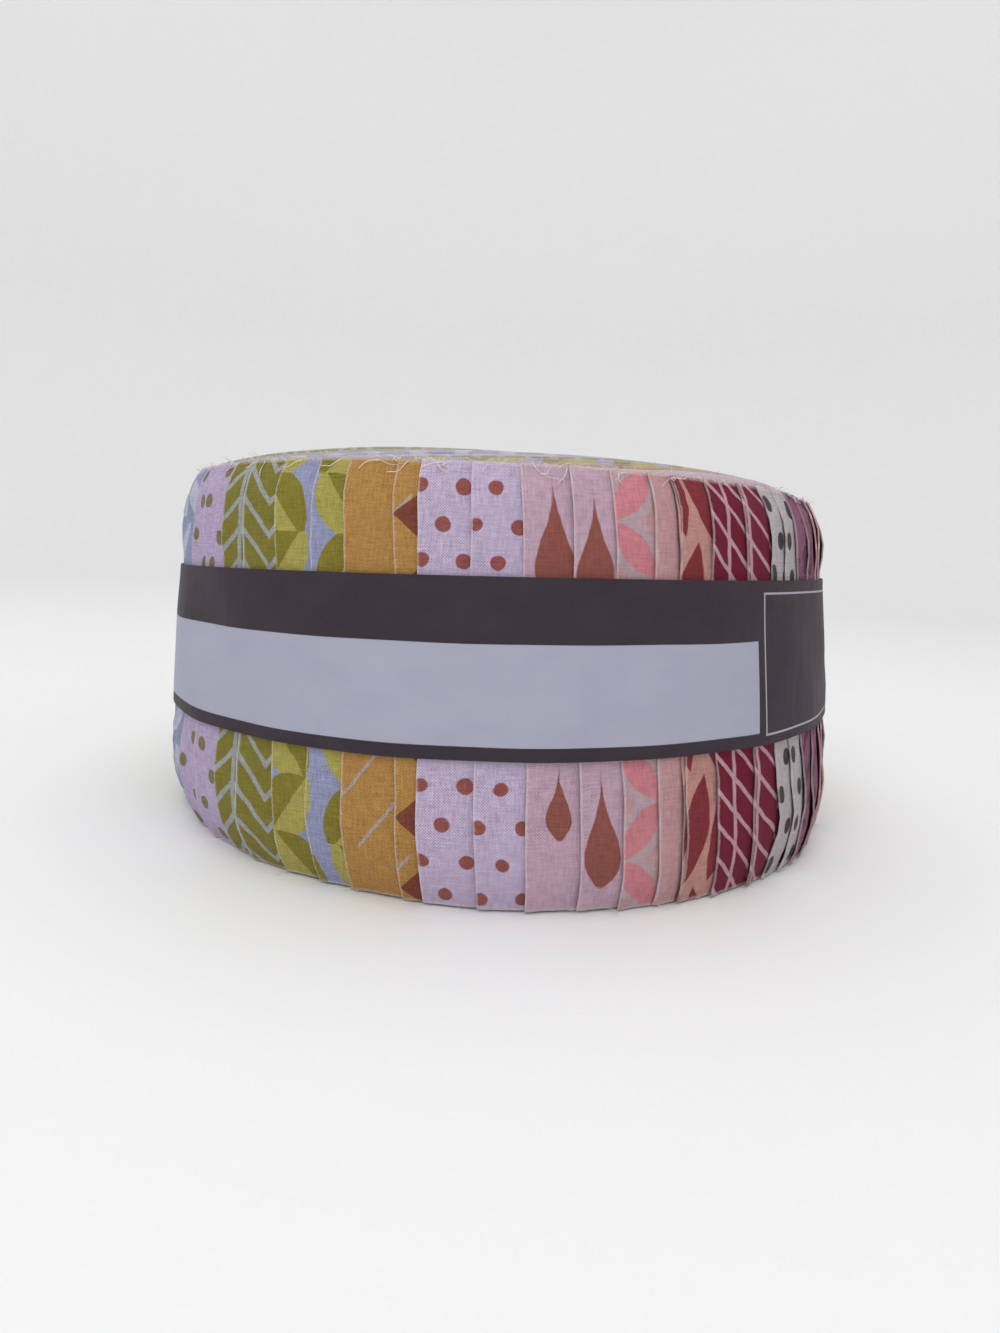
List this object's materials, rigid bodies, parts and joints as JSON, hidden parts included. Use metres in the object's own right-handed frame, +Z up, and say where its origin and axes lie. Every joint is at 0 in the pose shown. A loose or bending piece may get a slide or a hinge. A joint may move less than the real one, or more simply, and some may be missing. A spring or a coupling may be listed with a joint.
{
  "type": "jelly roll of fabric strips with a paper band",
  "caption": "Round roll of printed quilting cotton strips, each folded double and wound up together in a swirl, held by a plain paper band round the middle; stands on its cut edges.",
  "frame": {"origin": "on the surface the roll stands on, under the middle of its box", "axes": "+Z up along the roll's axis, -Y the front with the band's panel, +X to the right of the front"},
  "size_m": [0.1342, 0.1358, 0.064],
  "materials": {
    "cotton": "plain-woven printed quilting cotton, matt, in many colours from lilac and olive to rust, peach, burgundy and white",
    "paper": "smooth printed paper band, dark aubergine with a pale panel"
  },
  "bodies": {
    "root": {"strip_roll": "cotton", "paper_band": "paper"}
  },
  "joints": []
}
